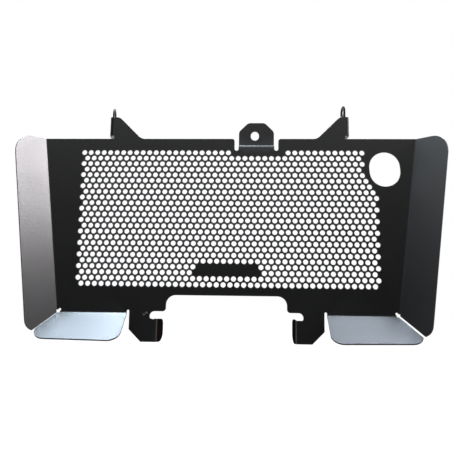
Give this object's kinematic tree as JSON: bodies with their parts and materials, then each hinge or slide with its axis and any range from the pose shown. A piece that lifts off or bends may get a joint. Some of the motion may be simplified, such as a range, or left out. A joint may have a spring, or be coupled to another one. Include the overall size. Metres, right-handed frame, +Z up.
{
  "type": "motorcycle radiator guard",
  "caption": "Folded sheet guard for a motorcycle radiator, with a honeycomb grille, forward wings and aprons, hooks below and a tab and ears above.",
  "frame": {"origin": "centre of the slotted hole in the upper tab, on the tab's back face, where it lies against the radiator's bracket", "axes": "+X to the right as the guard is seen from the front, +Y back towards the radiator, +Z up"},
  "size_m": [0.3997, 0.0561, 0.2345],
  "materials": {
    "black_coat": "satin black powder coat on aluminium sheet"
  },
  "bodies": {
    "root": {"guard_sheet": "black_coat"}
  },
  "joints": []
}
